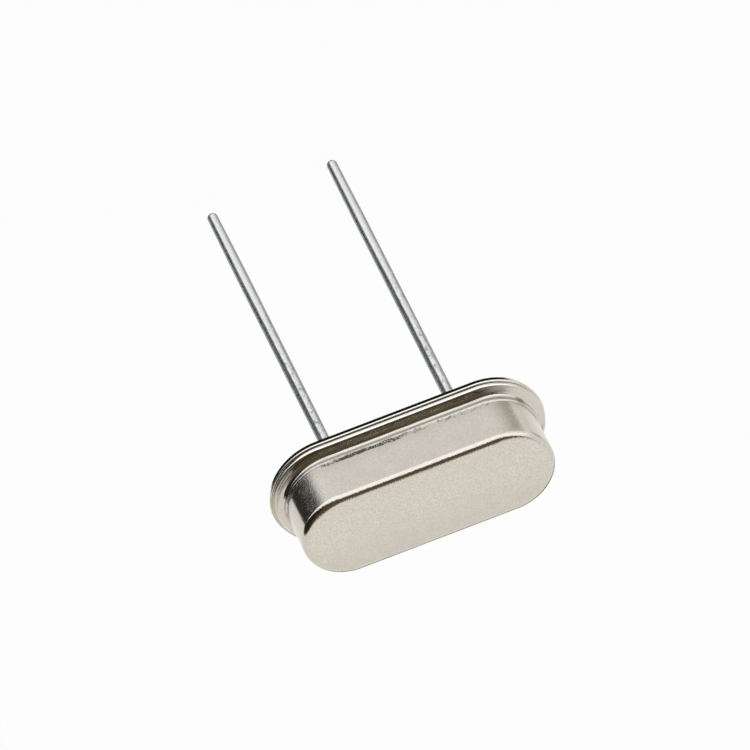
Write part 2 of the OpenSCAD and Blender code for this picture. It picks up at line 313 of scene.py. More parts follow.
def make_lead(side, name, box):
    """A lead wire from its rounded tip to its flat head."""
    bm = bmesh.new()
    sweep(bm, lead_section(box[0].z, box[1].z), circle_path(side * LEAD_X))
    return finish_mesh(bm, name)


# ---------------------------------------------------------------- node helpers
# The parts of noise that a smooth step spreads out, from the broadest to the narrowest
BROAD = (0.3, 0.7)
MIDDLE = (0.35, 0.65)
NARROW = (0.38, 0.62)


class Nodes:
    """Short helpers to build a node tree, and a colour that is laid over layer by layer."""

    def __init__(self, tree):
        self.nodes = tree.nodes
        self.links = tree.links
        self.colour = (1.0, 1.0, 1.0)

    def link(self, output, entry):
        """Joins an output socket to an input socket."""
        self.links.new(output, entry)

    def math(self, operation, *values):
        """A Math node's result.  Each value is a socket or a plain number."""
        node = self.nodes.new("ShaderNodeMath")
        node.operation = operation
        for entry, value in zip(node.inputs, values):
            if isinstance(value, (int, float)):
                entry.default_value = value
            else:
                self.link(value, entry)
        return node.outputs[0]

    def product(self, first, *others):
        """Shares or numbers multiplied together."""
        for other in others:
            first = self.math("MULTIPLY", first, other)
        return first

    def total(self, first, *others):
        """Values added together."""
        for other in others:
            first = self.math("ADD", first, other)
        return first

    def hypot(self, first, second):
        """The length of the slanting side over two sides at a right angle."""
        return self.math("SQRT", self.total(self.product(first, first), self.product(second, second)))

    def vector(self, operation, value, other):
        """A Vector Math node on a vector socket and a fixed vector."""
        node = self.nodes.new("ShaderNodeVectorMath")
        node.operation = operation
        self.link(value, node.inputs[0])
        node.inputs[1].default_value = other
        return node

    def ramp(self, value, low, high, to_low=0.0, to_high=1.0):
        """A smooth step: to_low where the value is at low, to_high where it is at high."""
        node = self.nodes.new("ShaderNodeMapRange")
        node.interpolation_type = "SMOOTHSTEP"
        self.link(value, node.inputs["Value"])
        node.inputs["From Min"].default_value = low
        node.inputs["From Max"].default_value = high
        node.inputs["To Min"].default_value = to_low
        node.inputs["To Max"].default_value = to_high
        return node.outputs["Result"]

    def between(self, value, low, high, soft):
        """1 between two values, with soft ends."""
        return self.product(self.ramp(value, low - soft, low + soft),
                            self.ramp(value, high - soft, high + soft, 1.0, 0.0))

    def mix(self, share, first, second):
        """A share of the second colour over the first.  Each is a socket or a plain colour."""
        node = self.nodes.new("ShaderNodeMix")
        node.data_type = "RGBA"
        self.link(share, node.inputs["Factor"])
        entries = [entry for entry in node.inputs if entry.type == "RGBA"]
        for entry, value in zip(entries, (first, second)):
            if isinstance(value, tuple):
                entry.default_value = (*value, 1.0)
            else:
                self.link(value, entry)
        return [output for output in node.outputs if output.type == "RGBA"][0]

    def lay(self, share, colour, strength=1.0):
        """Lays another colour over the one so far."""
        if strength != 1.0:
            share = self.product(share, strength)
        self.colour = self.mix(share, self.colour, colour)


class Tree(Nodes):
    """A material's nodes, with places in millimetres of the part's frame."""

    def __init__(self, name):
        self.material = bpy.data.materials.new(name)
        self.material.use_nodes = True
        super().__init__(self.material.node_tree)
        self.shader = self.nodes["Principled BSDF"]
        coordinates = self.nodes.new("ShaderNodeTexCoord").outputs
        per_metre = (1 / MM, 1 / MM, 1 / MM)
        self.normal = coordinates["Normal"]
        self.place = self.vector("MULTIPLY", coordinates["Object"], per_metre).outputs["Vector"]

    def constant(self, **values):
        """Sets what is the same all over on the shader's own sockets."""
        for name, value in values.items():
            self.shader.inputs[name.replace("_", " ")].default_value = value

    def stretched(self, factors):
        """The place with its axes scaled, to stretch a pattern."""
        return self.vector("MULTIPLY", self.place, factors).outputs["Vector"]

    def noise(self, scale, detail=3.0, roughness=0.5, place=None):
        """Noise from 0 to 1, with about scale cells to the millimetre."""
        node = self.nodes.new("ShaderNodeTexNoise")
        self.link(place or self.place, node.inputs["Vector"])
        node.inputs["Scale"].default_value = scale
        node.inputs["Detail"].default_value = detail
        node.inputs["Roughness"].default_value = roughness
        return node.outputs["Fac"]

    def bump(self, height, depth, normal=None):
        """A bumped normal, as deep as depth in millimetres, on top of another if one is given."""
        node = self.nodes.new("ShaderNodeBump")
        node.inputs["Strength"].default_value = 1.0
        node.inputs["Distance"].default_value = depth * MM
        self.link(height, node.inputs["Height"])
        if normal:
            self.link(normal, node.inputs["Normal"])
        return node.outputs["Normal"]

    def parts_of(self, vector):
        """A vector's X, Y and Z."""
        node = self.nodes.new("ShaderNodeSeparateXYZ")
        self.link(vector, node.inputs[0])
        return node.outputs[0], node.outputs[1], node.outputs[2]

    def joined(self, x, y, z):
        """A vector from three numbers."""
        node = self.nodes.new("ShaderNodeCombineXYZ")
        for entry, value in zip(node.inputs, (x, y, z)):
            self.link(value, entry)
        return node.outputs[0]

    def surface(self, colour, roughness, normal):
        """Joins what varies over the surface to the shader."""
        self.link(colour, self.shader.inputs["Base Color"])
        self.link(roughness, self.shader.inputs["Roughness"])
        self.link(normal, self.shader.inputs["Normal"])

    def dress(self, piece, slot):
        """Gives the material to a piece.  The slot is not used."""
        piece.data.materials.clear()
        piece.data.materials.append(self.material)


# ---------------------------------------------------------------- plated sheet
NICKEL = (0.625, 0.58, 0.515)
NICKEL_PALE = (0.655, 0.61, 0.545)
NICKEL_GRAIN = (0.55, 0.505, 0.445)
WALL_SHADE = (0.52, 0.485, 0.43)
# Painted highlight on the flange edges
FLANGE_EDGE_HIGHLIGHT = (0.84, 0.80, 0.73)
# Painted shade in the seam between the flanges and at the foot of the flank
SEAM_PAINTED_SHADE = (0.12, 0.08, 0.045)
# Painted dark reflection on the skirt band
SKIRT_DARK_REFLECTION = (0.25, 0.235, 0.19)
SCUFF = (0.055, 0.045, 0.036)
COPPERY = (0.66, 0.50, 0.38)
STREAK = (0.33, 0.33, 0.25)
FLANK_DARKER = (0.12, 0.11, 0.08)
# Painted dark reflection on the skirt near the -X end
SKIRT_END_DARK_REFLECTION = (0.16, 0.165, 0.13)
SCRATCH = (0.10, 0.085, 0.07)
# Painted highlight on the shoulder flank at the +X end
FLANK_PAINTED_HIGHLIGHT = (0.95, 0.90, 0.82)
YELLOWED = (0.50, 0.455, 0.35)
# Satin top, painted lighter than the plating, with painted shade towards its far edge
SATIN_PAINTED_LIGHT = (0.79, 0.741, 0.667)
SATIN_PALE_PAINTED_LIGHT = (0.81, 0.76, 0.685)
SATIN_GRAIN_PAINTED_LIGHT = (0.685, 0.64, 0.57)
SATIN_FAR_PAINTED_SHADE = (0.657, 0.612, 0.536)

# Lines round the sheet, in millimetres: distance out from the centre line, and height
FLANGE_SEAM = (2.195, 0.295)
FLANK_FOOT = (2.15, 0.485)
SHOULDER_LINE = (2.034, 0.595)
LEFT_FLANK = (2.08, 0.53)
RIGHT_FLANK = (2.09, 0.525)
TOP_EDGE = (1.74, 2.935)
SCRATCHED_EDGE = (1.70, 2.972)

# Ramps from 0 to 1 over a distance out, a height, a place along a side or a Y, in millimetres
ON_WALL = (1.90, 1.87)
ON_BARE_WALL = (1.89, 1.885)
ON_SKIRT = (1.86, 1.875)
OFF_WALL = (1.86, 1.88)
ON_FLANGES = (2.14, 2.17)
ON_FLANGE_EDGES = (2.16, 2.21)
UNDER_ROOT = (0.47, 0.43)
OVER_ROOT = (0.44, 0.50)
BELOW_SKIRT = (0.78, 0.72)
OVER_SHOULDER = (0.62, 0.68)
LOW_DOWN = (0.70, 0.60)
ON_CAN_FLANGE = (0.29, 0.33)
ON_FLAT_TOP = (CAN_TOP / MM - 0.004, CAN_TOP / MM - 0.001)
IN_FRONT = (0.2, -0.2)
TO_FAR_EDGE = (-0.3, 1.5)
PAST_BEND = (4.05, 4.4)
TO_RIGHT_END = (4.4, 4.9)
TO_RIGHT_TIP = (5.1, 5.8)

# Bands of height and stretches along a side, from one value to another
SIDES = (-4.2, 4.9)
LOW_WALL = (0.9, 1.3)
SKIRT_EDGE = (0.765, 0.835)
DIE_MARKS = (0.985, 1.155)
DARKER_BEND = (-4.25, -3.0)
SCRATCHED_BEND = (-5.0, -3.5)

# The die marks: where along X they begin, thicken and thin out again, and by how much
MARKS_BEGIN = ((-4.2, -3.2), (-0.05, 0.0))
MARKS_THICKEN = ((-0.9, 1.0), (-0.028, 0.07))
MARKS_THIN_OUT = ((2.3, 3.4), (0.0, -0.09))
MARKS_WAVINESS = 0.16
MARKS_PATCHINESS = 0.22
MARKS_BARENESS = -0.09
MARKS_EDGE = (0.02, -0.02)

# Patterns: what their noise keeps, and how they are stretched
BROKEN_PAINTED_SHADE = (0.3, 0.45)
DARK_STREAKS = (0.45, 0.62)
THIN_CURLS = (0.05, 0.02)
RAGGED = (0.7, 1.0, 1.0)
STREAK_LENGTH = 26.0

# A radian round an end counts as this far along
TURN_R = 2.0
# Centre of the painted dark reflection on the skirt
SKIRT_END_REFLECTION_PLACE = (-4.53, -1.22, 0.72)


class Sheet(Tree):
    """The sheet's nodes, with the places and patterns that its marks share.

    Along is the distance from the middle of either side, and runs on round the ends.  Out is the
    distance from the centre line, and high the height.
    """

    def __init__(self, name):
        super().__init__(name)
        self.constant(Metallic=1.0)
        self.x, self.y, self.high = self.parts_of(self.place)
        half = HALF_STRAIGHT / MM
        on_line = self.math("MAXIMUM", self.math("MINIMUM", self.x, half), -half)
        past_end = self.math("SUBTRACT", self.x, on_line)
        turn = self.math("ARCTAN2", past_end, self.math("ABSOLUTE", self.y))
        self.along = self.math("MULTIPLY_ADD", turn, TURN_R, on_line)
        self.out = self.hypot(past_end, self.y)

        self.cloud = self.ramp(self.noise(scale=1.1, detail=4.0), *MIDDLE)
        self.grain = self.ramp(self.noise(scale=12.0, detail=2.0, roughness=0.7), *NARROW)
        ragged = self.noise(scale=13.0, detail=4.0, roughness=0.7, place=self.stretched(RAGGED))
        self.curl = self.math("ABSOLUTE", self.math("SUBTRACT", ragged, 0.5))
        drawn = self.joined(self.along, self.product(self.out, STREAK_LENGTH),
                            self.product(self.high, STREAK_LENGTH))
        self.streak = self.noise(scale=1.0, detail=3.0, roughness=0.6, place=drawn)

        self.sides = self.between(self.along, *SIDES, soft=0.8)
        self.past_bend = self.ramp(self.along, *PAST_BEND)
        self.in_root = self.product(self.ramp(self.high, *BELOW_SKIRT), self.ramp(self.high, *OVER_ROOT),
                                    self.ramp(self.out, *OFF_WALL))

    def near(self, line, inner, outer):
        """1 within the inner distance of a line round the sheet, 0 beyond the outer one."""
        across = self.math("SUBTRACT", self.out, line[0])
        upward = self.math("SUBTRACT", self.high, line[1])
        return self.ramp(self.hypot(across, upward), inner, outer, 1.0, 0.0)

    def near_point(self, point, inner, outer):
        """1 within the inner distance of a point, 0 beyond the outer one."""
        gap = self.vector("DISTANCE", self.place, point).outputs["Value"]
        return self.ramp(gap, inner, outer, 1.0, 0.0)


def lay_plating(sheet):
    """Clouded and grained nickel, a little darker low on the wall."""
    sheet.colour = sheet.mix(sheet.cloud, NICKEL, NICKEL_PALE)
    sheet.lay(sheet.grain, NICKEL_GRAIN, strength=0.6)
    low_wall = sheet.product(sheet.between(sheet.high, *LOW_WALL, soft=0.25),
                             sheet.ramp(sheet.out, *ON_WALL))
    sheet.lay(low_wall, WALL_SHADE, strength=0.5)


def lay_flange_wear(sheet):
    """Painted highlight on the flange edges, painted shade where the sheets and bends meet, and a
    painted dark reflection on the skirt.
    """
    # Painted highlight: the flange edges are lighter than the plating
    edges = sheet.product(sheet.ramp(sheet.out, *ON_FLANGE_EDGES), sheet.ramp(sheet.high, *UNDER_ROOT))
    sheet.lay(sheet.product(edges, sheet.sides), FLANGE_EDGE_HIGHLIGHT)
    # Painted shade in the seam between the flanges and at the foot of the flank, broken up by noise
    broken = sheet.ramp(sheet.noise(scale=5.0), *BROKEN_PAINTED_SHADE, to_low=0.6, to_high=1.0)
    seam = sheet.product(sheet.near(FLANGE_SEAM, inner=0.025, outer=0.055), broken)
    foot = sheet.product(sheet.near(FLANK_FOOT, inner=0.015, outer=0.05), 0.6)
    sheet.lay(sheet.product(sheet.math("MAXIMUM", seam, foot), sheet.sides), SEAM_PAINTED_SHADE)
    # Painted dark reflection: the skirt band is darkened
    skirt = sheet.product(sheet.between(sheet.high, *SKIRT_EDGE, soft=0.02),
                          sheet.ramp(sheet.out, *ON_SKIRT))
    sheet.lay(skirt, SKIRT_DARK_REFLECTION, strength=0.55)


def die_marks(sheet):
    """Scuffed marks that the drawing die left just above the crease in front, most towards +X."""
    wavy = sheet.noise(scale=2.2, roughness=0.6)
    wavy = sheet.math("MULTIPLY_ADD", wavy, MARKS_WAVINESS, sheet.high)
    reach = sheet.product(sheet.between(wavy, *DIE_MARKS, soft=0.03),
                          sheet.ramp(sheet.out, *ON_BARE_WALL), sheet.ramp(sheet.y, *IN_FRONT))
    changes = (MARKS_THICKEN, MARKS_THIN_OUT, MARKS_BEGIN)
    amount = sheet.total(*[sheet.ramp(sheet.x, *stretch, *change) for stretch, change in changes])
    patchy = sheet.math("MULTIPLY_ADD", sheet.noise(scale=2.5), MARKS_PATCHINESS, MARKS_BARENESS)
    width = sheet.total(patchy, amount)
    inside = sheet.ramp(sheet.math("SUBTRACT", sheet.curl, width), *MARKS_EDGE)
    return sheet.product(inside, reach)


def lay_edge_and_root(sheet):
    """A coppery tint along the rounded top edge, and dark streaks drawn round the root bend."""
    edge = sheet.product(sheet.near(TOP_EDGE, inner=0.03, outer=0.09), sheet.sides)
    sheet.lay(edge, COPPERY, strength=0.6)
    streaks = sheet.product(sheet.ramp(sheet.streak, *DARK_STREAKS), sheet.in_root, sheet.sides)
    sheet.lay(streaks, STREAK, strength=0.6)


def lay_left_end(sheet):
    """Towards -X: a darker shoulder flank, a painted dark reflection on the skirt, scratches on the top
    edge.
    """
    flank = sheet.product(sheet.near(LEFT_FLANK, inner=0.05, outer=0.075),
                          sheet.between(sheet.along, *DARKER_BEND, soft=0.3))
    sheet.lay(flank, FLANK_DARKER, strength=0.85)
    # Painted dark reflection on the skirt near the -X end
    skirt = sheet.product(sheet.ramp(sheet.high, *OVER_SHOULDER), sheet.ramp(sheet.out, *OFF_WALL))
    end_dark_reflection = sheet.product(sheet.near_point(SKIRT_END_REFLECTION_PLACE, inner=0.10, outer=0.28), skirt)
    sheet.lay(end_dark_reflection, SKIRT_END_DARK_REFLECTION, strength=0.6)
    scratches = sheet.product(sheet.near(SCRATCHED_EDGE, inner=0.015, outer=0.04),
                              sheet.between(sheet.along, *SCRATCHED_BEND, soft=0.25),
                              sheet.ramp(sheet.curl, *THIN_CURLS))
    sheet.lay(scratches, SCRATCH, strength=0.9)


def lay_right_end(sheet, matt_flank_with_painted_highlight):
    """Towards +X: a matt shoulder flank with a painted highlight, and yellowed flanges."""
    # Painted highlight: the matt flank is lighter than the plating
    sheet.lay(matt_flank_with_painted_highlight, FLANK_PAINTED_HIGHLIGHT, strength=0.9)
    yellow = sheet.product(sheet.ramp(sheet.out, *ON_FLANGES),
                           sheet.ramp(sheet.along, *TO_RIGHT_TIP, to_high=0.9))
    sheet.lay(yellow, YELLOWED)


def lay_painted_satin_top(sheet, flat_top):
    """The flat top: satin nickel painted lighter than the plating, with painted shade a little darker
    towards its far edge.
    """
    # Painted light: the top is lighter than the plating, and painted shade darkens it towards its far
    # edge
    painted_satin = sheet.mix(sheet.cloud, SATIN_PAINTED_LIGHT, SATIN_PALE_PAINTED_LIGHT)
    painted_satin = sheet.mix(sheet.product(sheet.grain, 0.9), painted_satin, SATIN_GRAIN_PAINTED_LIGHT)
    painted_satin = sheet.mix(sheet.ramp(sheet.y, *TO_FAR_EDGE, to_high=0.5), painted_satin, SATIN_FAR_PAINTED_SHADE)
    sheet.lay(flat_top, painted_satin)


def sheet_roughness(sheet, marks, matt_flank_with_painted_highlight, flat_top):
    """Mirror-bright, but duller on the marks, the shoulder, the +X end and the flat top."""
    rough = sheet.ramp(sheet.noise(scale=3.0, detail=4.0), *BROAD, to_low=0.10, to_high=0.15)
    shoulder = sheet.near(SHOULDER_LINE, inner=0.01, outer=0.04)
    flange = sheet.product(sheet.ramp(sheet.out, *ON_FLANGES), sheet.past_bend,
                           sheet.ramp(sheet.high, *ON_CAN_FLANGE))
    scuffed = sheet.math("MAXIMUM", marks, shoulder)
    for share, rougher in ((scuffed, 0.2), (flat_top, 0.4), (matt_flank_with_painted_highlight, 0.55), (flange, 0.22)):
        rough = sheet.math("MULTIPLY_ADD", share, rougher, rough)
    return rough


def sheet_relief(sheet, marks):
    """Streaks in the root bend, fine orange peel, calmer low down and at the +X end, and the marks."""
    drawn = sheet.bump(sheet.product(sheet.streak, sheet.in_root), depth=0.004)
    low_down = sheet.math("MAXIMUM", sheet.in_root, sheet.ramp(sheet.high, *LOW_DOWN))
    calm = sheet.product(sheet.math("MULTIPLY_ADD", low_down, -0.7, 1.0),
                         sheet.ramp(sheet.along, *TO_RIGHT_END, to_low=1.0, to_high=0.2))
    pebbles = sheet.product(sheet.noise(scale=17.0), calm)
    peel = sheet.bump(pebbles, depth=0.0065, normal=drawn)
    return sheet.bump(marks, depth=0.004, normal=peel)


def nickel(name):
    """Drawn and nickel-plated sheet with the wear of its making and handling, and with painted shade,
    highlights and reflections.
    """
    sheet = Sheet(name)
    marks = die_marks(sheet)
    # The +X flank: rougher, and lightened with a painted highlight
    matt_flank_with_painted_highlight = sheet.product(sheet.near(RIGHT_FLANK, inner=0.03, outer=0.06), sheet.past_bend)
    flat_top = sheet.ramp(sheet.high, *ON_FLAT_TOP)
    lay_plating(sheet)
    lay_flange_wear(sheet)
    sheet.lay(marks, SCUFF, strength=0.95)
    lay_edge_and_root(sheet)
    lay_left_end(sheet)
    lay_right_end(sheet, matt_flank_with_painted_highlight)
    lay_painted_satin_top(sheet, flat_top)
    sheet.surface(sheet.colour, sheet_roughness(sheet, marks, matt_flank_with_painted_highlight, flat_top),
                  sheet_relief(sheet, marks))
    return sheet


# ---------------------------------------------------------------- tinned wire
TIN = (0.76, 0.76, 0.75)
TIN_BRIGHT = (0.98, 0.98, 0.965)
# Painted shade on the -X side of the leads
TIN_PAINTED_SHADE = (0.26, 0.265, 0.26)
TIN_BLOT = (0.30, 0.30, 0.28)
# Painted shade on the +X side of the leads, darkest in a band along it
TIN_PLUS_X_SHADE = (0.38, 0.385, 0.37)
TIN_PLUS_X_SHADE_PALE = (0.50, 0.505, 0.49)
TIN_SHADE_BAND = (0.21, 0.205, 0.19)
# Painted bluish reflection along the outermost +X edge of the leads
TIN_EDGE_REFLECTION = (0.22, 0.28, 0.30)

# Ramps over a height, and over how far the surface faces +X, from -1 to 1
WORKED = (-12.5, -7.5)
FEWER_BLOTS = (-11.0, -4.0)
PAINTED_SHADE_SIDE = (-0.36, -0.72)
PLUS_X_SHADE_SIDE = (0.33, 0.50)
SHADE_BAND = (0.50, 0.74)
OUTERMOST = (0.84, 0.94)

# Patterns: what their noise keeps, and how they are drawn out along the wire
BLOTS = (0.53, 0.62)
TIN_GRAIN = (1.0, 1.0, 0.5)
BLOT_GRAIN = (1.0, 1.0, 0.6)


def lay_tin(tree, facing, worked, z):
    """Clouded tin with blots, painted shade on its -X side, painted shade on its +X side with a darker
    painted band along it, and a painted bluish reflection along its outermost +X edge.
    """
    cloud = tree.noise(scale=12.0, detail=4.0, roughness=0.65, place=tree.stretched(TIN_GRAIN))
    cloud = tree.math("SUBTRACT", tree.ramp(cloud, *MIDDLE), 0.6)
    cloud = tree.math("MULTIPLY_ADD", cloud, worked, 0.6)
    tree.colour = tree.mix(cloud, TIN, TIN_BRIGHT)
    # Painted shade on the side that faces -X
    tree.lay(tree.ramp(facing, *PAINTED_SHADE_SIDE), TIN_PAINTED_SHADE)
    blots = tree.noise(scale=5.0, detail=4.0, roughness=0.65, place=tree.stretched(BLOT_GRAIN))
    blots = tree.total(blots, tree.ramp(z, *FEWER_BLOTS, to_low=-0.14, to_high=0.0))
    tree.lay(tree.ramp(blots, *BLOTS, to_high=0.75), TIN_BLOT)
    # Painted shade on the side that faces +X, with a darker painted band along it
    side = tree.math("MULTIPLY_ADD", worked, 0.16, facing)
    tree.lay(tree.ramp(side, *PLUS_X_SHADE_SIDE), tree.mix(cloud, TIN_PLUS_X_SHADE, TIN_PLUS_X_SHADE_PALE))
    tree.lay(tree.product(tree.between(side, *SHADE_BAND, soft=0.07), worked), TIN_SHADE_BAND)
    # Painted bluish reflection along the outermost edge that faces +X
    tree.lay(tree.ramp(facing, *OUTERMOST), TIN_EDGE_REFLECTION)


def tin(name):
    """Hot-dipped tin, smooth at the tip and worked towards the base."""
    tree = Tree(name)
    tree.constant(Metallic=1.0)
    z = tree.parts_of(tree.place)[2]
    worked = tree.ramp(z, *WORKED)
    uneven = tree.noise(scale=6.0, roughness=0.6, place=tree.stretched(TIN_GRAIN))
    uneven = tree.product(tree.math("MULTIPLY_ADD", uneven, 0.4, -0.2),
                          tree.math("MULTIPLY_ADD", worked, 0.7, 0.3))
    facing = tree.total(tree.parts_of(tree.normal)[0], uneven)
    lay_tin(tree, facing, worked, z)
    roughness = tree.ramp(tree.noise(scale=9.0), *BROAD, to_low=0.24, to_high=0.36)
    beads = tree.product(tree.noise(scale=14.0, detail=4.0),
                         tree.math("MULTIPLY_ADD", worked, 0.85, 0.15))
    tree.surface(tree.colour, roughness, tree.bump(beads, depth=0.005))
    return tree


# ---------------------------------------------------------------- glass and the parts inside
GLASS = (0.012, 0.022, 0.03)
GLASS_PALE = (0.03, 0.05, 0.06)
GLASS_CLOUDS = (0.35, 0.7)
CLIP_METAL = ((0.56, 0.53, 0.44), (0.70, 0.67, 0.58))
SILVER = ((0.80, 0.80, 0.80), (0.92, 0.91, 0.90))
QUARTZ = ((0.86, 0.9, 0.92), (0.95, 0.97, 0.98))
ADHESIVE = ((0.38, 0.38, 0.39), (0.62, 0.62, 0.63))
ALONG_X = (1.0, 12.0, 12.0)


def seal_glass(name):
    """Dark, bluish, glossy glass."""
    tree = Tree(name)
    tree.constant(IOR=1.5, Coat_Weight=0.4)
    clouds = tree.ramp(tree.noise(scale=5.0, detail=4.0), *GLASS_CLOUDS)
    colour = tree.mix(clouds, GLASS, GLASS_PALE)
    roughness = tree.ramp(tree.noise(scale=12.0), *BROAD, to_low=0.06, to_high=0.16)
    tree.surface(colour, roughness, tree.bump(tree.noise(scale=6.0), depth=0.01))
    return tree


def plain_metal(name, colours, smooth, rough):
    """Metal with a grain along X, between two colours and two roughnesses."""
    tree = Tree(name)
    tree.constant(Metallic=1.0)
    grain = tree.noise(scale=8.0, detail=4.0, roughness=0.6, place=tree.stretched(ALONG_X))
    tree.surface(tree.mix(tree.ramp(grain, *BROAD), *colours),
                 tree.ramp(grain, *BROAD, to_low=smooth, to_high=rough), tree.bump(grain, depth=0.002))
    return tree


def quartz(name):
    """Clear crystal with a lapped, frosted face."""
    tree = Tree(name)
    tree.constant(IOR=1.54, Transmission_Weight=0.85)
    frost = tree.noise(scale=30.0, detail=4.0)
    tree.surface(tree.mix(tree.ramp(frost, *BROAD), *QUARTZ),
                 tree.ramp(frost, *BROAD, to_low=0.2, to_high=0.4), tree.bump(frost, depth=0.001))
    return tree


def adhesive(name):
    """Silver-filled glue."""
    tree = Tree(name)
    tree.constant(Metallic=0.3)
    flakes = tree.noise(scale=30.0, detail=4.0)
    tree.surface(tree.mix(tree.ramp(flakes, *MIDDLE), *ADHESIVE),
                 tree.ramp(flakes, *BROAD, to_low=0.45, to_high=0.7), tree.bump(flakes, depth=0.01))
    return tree


# ---------------------------------------------------------------- camera and floor
VIEW_AZIMUTH = 7.99
VIEW_ELEVATION = 47.86
VIEW_ROLL = 153.2
VIEW_DISTANCE = 1.0
SENSOR = 36.0
PIXELS = 750
PIXELS_PER_MM = 27.323
ORIGIN_PIXEL = (405.62, 455.44)
CLIP_START = 0.05
CLIP_END = 50.0

FLOOR_Z = lead_box["left"][0].z - 0.05 * MM
FLOOR_HALF = 1.5
FLOOR_CELLS = 8
FLOOR_COLOUR = (0.9, 0.9, 0.9, 1)
FLOOR_ROUGHNESS = 0.9
FLOOR_GLOW = 0.955


def make_camera():
    """A camera from the photo's direction, placed so that the part's origin falls on its pixel."""
    azimuth = math.radians(VIEW_AZIMUTH)
    elevation = math.radians(VIEW_ELEVATION)
    back = Vector((math.sin(azimuth) * math.cos(elevation),
                   -math.cos(azimuth) * math.cos(elevation), math.sin(elevation)))
    turn = back.to_track_quat("Z", "Y").to_matrix() @ Matrix.Rotation(math.radians(VIEW_ROLL), 3, "Z")
    right = turn @ Vector((1, 0, 0))
    up = turn @ Vector((0, 1, 0))
    middle = PIXELS / 2
    aim = right * (middle - ORIGIN_PIXEL[0]) - up * (middle - ORIGIN_PIXEL[1])
    aim *= MM / PIXELS_PER_MM
    data = bpy.data.cameras.new("camera")
    data.sensor_width = SENSOR
    data.lens = SENSOR * VIEW_DISTANCE / (PIXELS / PIXELS_PER_MM * MM)
    data.clip_start = CLIP_START
    data.clip_end = CLIP_END
    camera = bpy.data.objects.new("camera", data)
    camera.matrix_world = Matrix.Translation(aim + back * VIEW_DISTANCE) @ turn.to_4x4()
    bpy.context.scene.collection.objects.link(camera)
    bpy.context.scene.camera = camera


def floor_material():
    """White paper that takes only a faint shadow: it glows to the eye, but not to the part."""
    material = bpy.data.materials.new("floor_white")
    material.use_nodes = True
    tree = Nodes(material.node_tree)
    paper = tree.nodes["Principled BSDF"]
    paper.inputs["Base Color"].default_value = FLOOR_COLOUR
    paper.inputs["Roughness"].default_value = FLOOR_ROUGHNESS
    glow = tree.nodes.new("ShaderNodeEmission")
    ray = tree.nodes.new("ShaderNodeLightPath").outputs
    seen = tree.math("MAXIMUM", ray["Is Camera Ray"], ray["Is Glossy Ray"])
    seen = tree.math("MAXIMUM", seen, ray["Is Transmission Ray"])
    blend = tree.nodes.new("ShaderNodeMixShader")
    tree.link(tree.product(seen, FLOOR_GLOW), blend.inputs[0])
    tree.link(paper.outputs[0], blend.inputs[1])
    tree.link(glow.outputs[0], blend.inputs[2])
    tree.link(blend.outputs[0], tree.nodes["Material Output"].inputs[0])
    return material


def make_floor():
    """A level white floor just under the lead tips."""
    bm = bmesh.new()
    bmesh.ops.create_grid(bm, x_segments=FLOOR_CELLS, y_segments=FLOOR_CELLS, size=FLOOR_HALF)
    bmesh.ops.translate(bm, verts=bm.verts, vec=(0, 0, FLOOR_Z))
    mesh = bpy.data.meshes.new("floor")
    bm.to_mesh(mesh)
    bm.free()
    floor = bpy.data.objects.new("floor", mesh)
    bpy.context.scene.collection.objects.link(floor)
    mesh.materials.append(floor_material())
    floor.visible_glossy = False


# ---------------------------------------------------------------- what the metal mirrors
# Bearings run from the front, -Y, round towards +X, and heights are over the horizon, both in
# degrees.  The dark room lies above a slanting plane, and the rest is white.
ROOM_PLANE = (0.579, 0.402, 0.709)
IN_ROOM = (-0.05, 0.05)
UNDER_ROOM = (-0.82, -0.62)
ROOM_END = 102.5
DARK_END = 105

ROOM_BROWN = (0.125, 0.100, 0.060)
ROOM_BLACK = (0.022, 0.024, 0.017)
GLOW = (1.5, 1.56, 1.68)
DUSK = (0.08, 0.083, 0.083)
NIGHT = (0.033, 0.035, 0.030)
REAR = (0.50, 0.495, 0.45)
REAR_FAINT = (0.86, 0.85, 0.83)
NADIR = (0.005, 0.012, 0.007)
BACK_LOW = (0.25, 0.20, 0.12)
WHITE = (1.0, 1.0, 1.0)

# Directions of the round spots: overhead, straight down and low behind
OVERHEAD_SPOT = (0.09, 0.05, 0.99)
NADIR_SPOT = (0.07, 0.0, -1.0)
BACK_LOW_SPOT = (-0.2, 0.9, -0.36)

# The level part of a direction at which an upright plane's softness is reckoned
MIRROR_REACH = 0.7


class Sky(Nodes):
    """Shares of the directions round the part, from 0 to 1, and the colours laid over them."""

    def __init__(self, tree):
        super().__init__(tree)
        self.direction = self.nodes.new("ShaderNodeTexCoord").outputs["Generated"]

    def beyond(self, normal, low, high):
        """Past a plane, from where its distance is low to where it is high."""
        dot = self.vector("DOT_PRODUCT", self.direction, Vector(normal).normalized())
        return self.ramp(dot.outputs["Value"], low, high)

    def past(self, bearing, soft):
        """On the +X side of an upright plane through a bearing."""
        angle = math.radians(bearing)
        half = math.sin(math.radians(soft / 2)) * MIRROR_REACH
        return self.beyond((math.cos(angle), math.sin(angle), 0), -half, half)

    def before(self, bearing, soft):
        """On the -X side of an upright plane through a bearing."""
        angle = math.radians(bearing)
        half = math.sin(math.radians(soft / 2)) * MIRROR_REACH
        return self.beyond((-math.cos(angle), -math.sin(angle), 0), -half, half)

    def above(self, height, soft):
        """Over a height."""
        low = math.sin(math.radians(height - soft / 2))
        high = math.sin(math.radians(height + soft / 2))
        return self.beyond((0, 0, 1), low, high)

    def below(self, height, soft):
        """Under a height."""
        low = math.sin(math.radians(height - soft / 2))
        high = math.sin(math.radians(height + soft / 2))
        return self.beyond((0, 0, -1), -high, -low)

    def round(self, direction, half, soft):
        """Within half an angle of a direction."""
        low = math.cos(math.radians(half + soft / 2))
        high = math.cos(math.radians(half - soft / 2))
        return self.beyond(direction, low, high)


